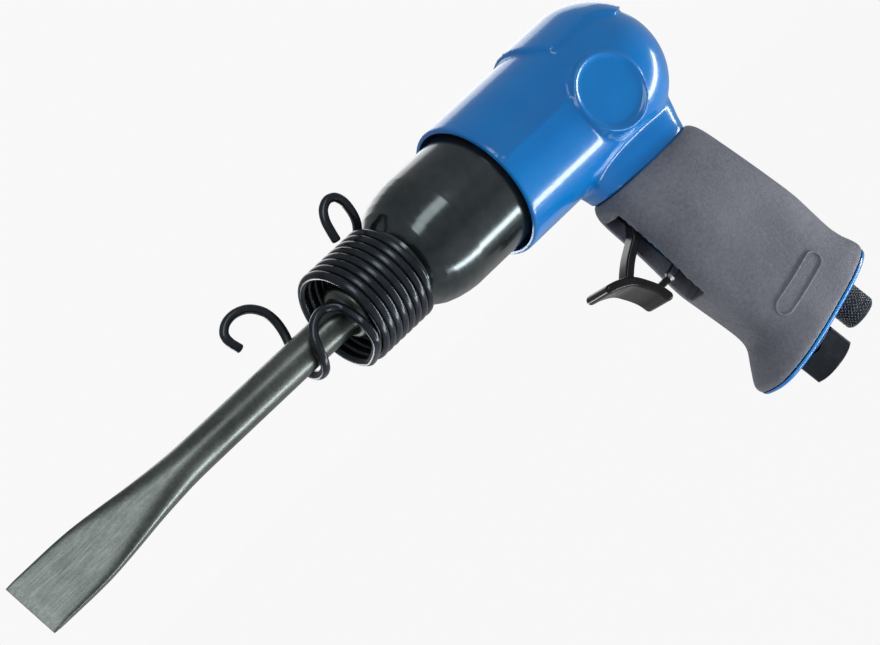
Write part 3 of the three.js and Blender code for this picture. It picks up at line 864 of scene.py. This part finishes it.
# ---- Inner pieces keep their CAD shape and get a real finish -------------------------------------
INNER = {
    STEEL: ["piston", "valve_seat_block", "valve_disc", "valve_cap", "valve_dowel_left", "valve_dowel_right",
            "trigger_pin", "throttle_stem", "regulator_spool", "regulator_pin"],
    BRASS: ["throttle_bush", "inlet_strainer"],
    NITRILE: ["valve_cap_o_ring", "throttle_bush_o_ring", "throttle_seal", "regulator_o_ring"],
}
for material, names in INNER.items():
    for name in names:
        node = frame["nodes"][name]
        node.data.materials.clear()
        node.data.materials.append(material)


# ---- Floor, light and camera ---------------------------------------------------------------------
def make_floor():
    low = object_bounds()[0]
    size = 6.0
    m = Nodes("pale_floor")
    m.base(m.colours(m.noise(3.0, 2.0), (0.80, 0.80, 0.80), (0.83, 0.83, 0.83)))
    m.set(Roughness=0.7)
    m.camera_only(0.97)
    mesh = bpy.data.meshes.new("floor")
    z = low.z - 0.55
    corners = [(-size, -size, z), (size, -size, z), (size, size, z), (-size, size, z)]
    mesh.from_pydata(corners, [], [(0, 1, 2, 3)])
    floor = bpy.data.objects.new("floor", mesh)
    bpy.context.collection.objects.link(floor)
    mesh.materials.append(m.material)


def softbox(name, place, size, watts, along=(1.0, 0.0, 0.0)):
    """A rectangular light that faces the barrel, its first side lying along a direction."""
    light = bpy.data.lights.new(name, "AREA")
    light.shape = "RECTANGLE"
    light.size, light.size_y = size
    light.energy = watts
    obj = bpy.data.objects.new(name, light)
    bpy.context.collection.objects.link(obj)
    back = (Vector(place) - RING).normalized()
    across = back.cross(Vector(along)).normalized()
    turn = Matrix((across.cross(back), across, back)).transposed().to_4x4()
    obj.matrix_world = Matrix.Translation(place) @ turn
    return obj


def make_light():
    """A white backdrop for the camera, a dimmer room for the reflections, and narrow softboxes."""
    world = bpy.data.worlds.new("studio")
    world.use_nodes = True
    tree = world.node_tree
    room = tree.nodes["Background"]
    room.inputs["Color"].default_value = (0.97, 0.985, 1.0, 1)
    room.inputs["Strength"].default_value = 0.42
    backdrop = tree.nodes.new("ShaderNodeBackground")
    backdrop.inputs["Color"].default_value = (1.0, 1.0, 1.0, 1)
    backdrop.inputs["Strength"].default_value = 0.94
    path = tree.nodes.new("ShaderNodeLightPath")
    choice = tree.nodes.new("ShaderNodeMixShader")
    tree.links.new(path.outputs["Is Camera Ray"], choice.inputs[0])
    tree.links.new(room.outputs[0], choice.inputs[1])
    tree.links.new(backdrop.outputs[0], choice.inputs[2])
    tree.links.new(choice.outputs[0], tree.nodes["World Output"].inputs["Surface"])
    bpy.context.scene.world = world
    softbox("low_strip", (-0.18, 0.14, -0.34), (1.1, 0.075), 5.0)
    softbox("rear_rim", (-0.45, -0.85, 0.5), (1.0, 0.7), 3.5)
    softbox("key", (0.35, 1.1, 0.75), (1.9, 0.4), 11.0)
    softbox("back_fill", (0.5, -1.0, -0.2), (0.6, 0.2), 3.0)
    bpy.context.scene.view_settings.view_transform = "Standard"


def make_camera():
    """A long lens, seen from the left and a little in front, with the camera rolled."""
    right = Vector((-0.6336, 0.4136, -0.6544))
    up = Vector((-0.6072, 0.2590, 0.7516))
    toward = right.cross(up).normalized()
    up = toward.cross(right).normalized()
    right = up.cross(toward).normalized()
    data = bpy.data.cameras.new("camera")
    data.lens = 164.9
    data.sensor_width = 36.0
    data.clip_end = 50.0
    camera = bpy.data.objects.new("camera", data)
    bpy.context.collection.objects.link(camera)
    turn = Matrix((right, up, toward)).transposed().to_4x4()
    place = RING - right * 11.1 * MM - up * 41.6 * MM + toward * 1300.0 * MM
    camera.matrix_world = Matrix.Translation(place) @ turn
    bpy.context.scene.camera = camera


make_floor()
make_light()
make_camera()
